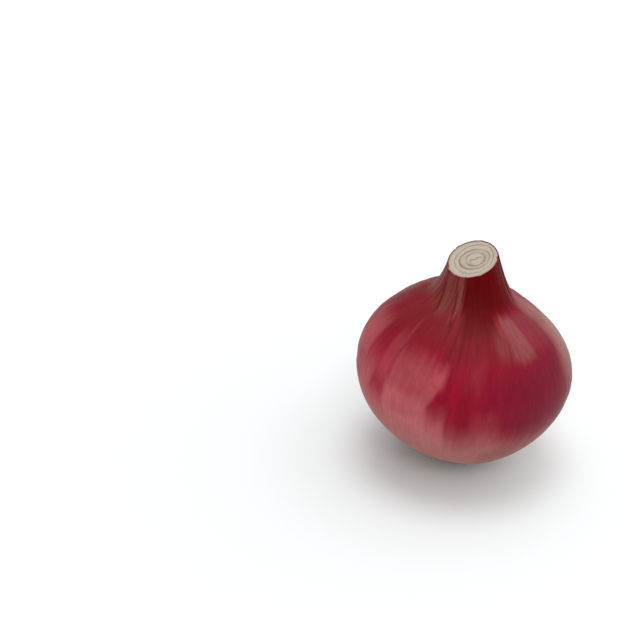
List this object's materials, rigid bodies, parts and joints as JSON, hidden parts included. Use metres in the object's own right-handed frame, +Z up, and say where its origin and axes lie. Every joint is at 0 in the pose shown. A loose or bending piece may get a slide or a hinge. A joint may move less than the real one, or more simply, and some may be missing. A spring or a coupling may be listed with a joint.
{
  "type": "red onion",
  "caption": "Whole red onion bulb with a neck cut off at a slant that shows its nested leaf bases, standing upright on the flat foot of its dried root tuft.",
  "frame": {"origin": "middle of the flat foot of the root tuft, on the surface that the onion stands on", "axes": "+Z up from the foot to the neck; -Y to the onion's front, the side that its slanted cut partly faces; +X to its right, the way the neck leans"},
  "size_m": [0.0757, 0.0759, 0.0826],
  "materials": {
    "red_skin": "satin",
    "dry_root": "matte",
    "cut_flesh": "matte"
  },
  "bodies": {
    "root": {"bulb": "red_skin", "root_tuft": "dry_root"}
  },
  "joints": []
}
